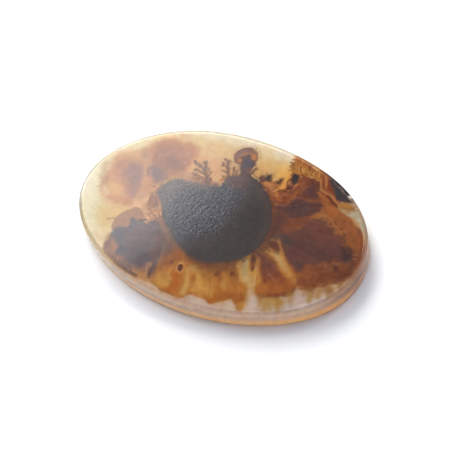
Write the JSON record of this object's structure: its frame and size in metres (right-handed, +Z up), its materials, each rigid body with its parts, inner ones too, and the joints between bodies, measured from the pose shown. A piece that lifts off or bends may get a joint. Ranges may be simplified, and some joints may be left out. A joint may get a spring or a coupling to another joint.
{
  "type": "dendritic agate specimen",
  "caption": "Thin oval slab of polished agate with a shallow bevel round its face, dark mossy and fern-like dendrites inside, resting on its flat back.",
  "frame": {"origin": "middle of the flat back, on the surface that the stone rests on", "axes": "+Z up through the thickness, out of the polished face; +X along the long axis of the oval; +Y along its short axis"},
  "size_m": [0.0499, 0.0323, 0.0033],
  "materials": {
    "agate": "translucent chalcedony, cream to amber, with red-brown clouds and a near-black dendrite mass, polished glossy on the face and satin on the rim"
  },
  "bodies": {
    "root": {"agate_slab": "agate"}
  },
  "joints": []
}
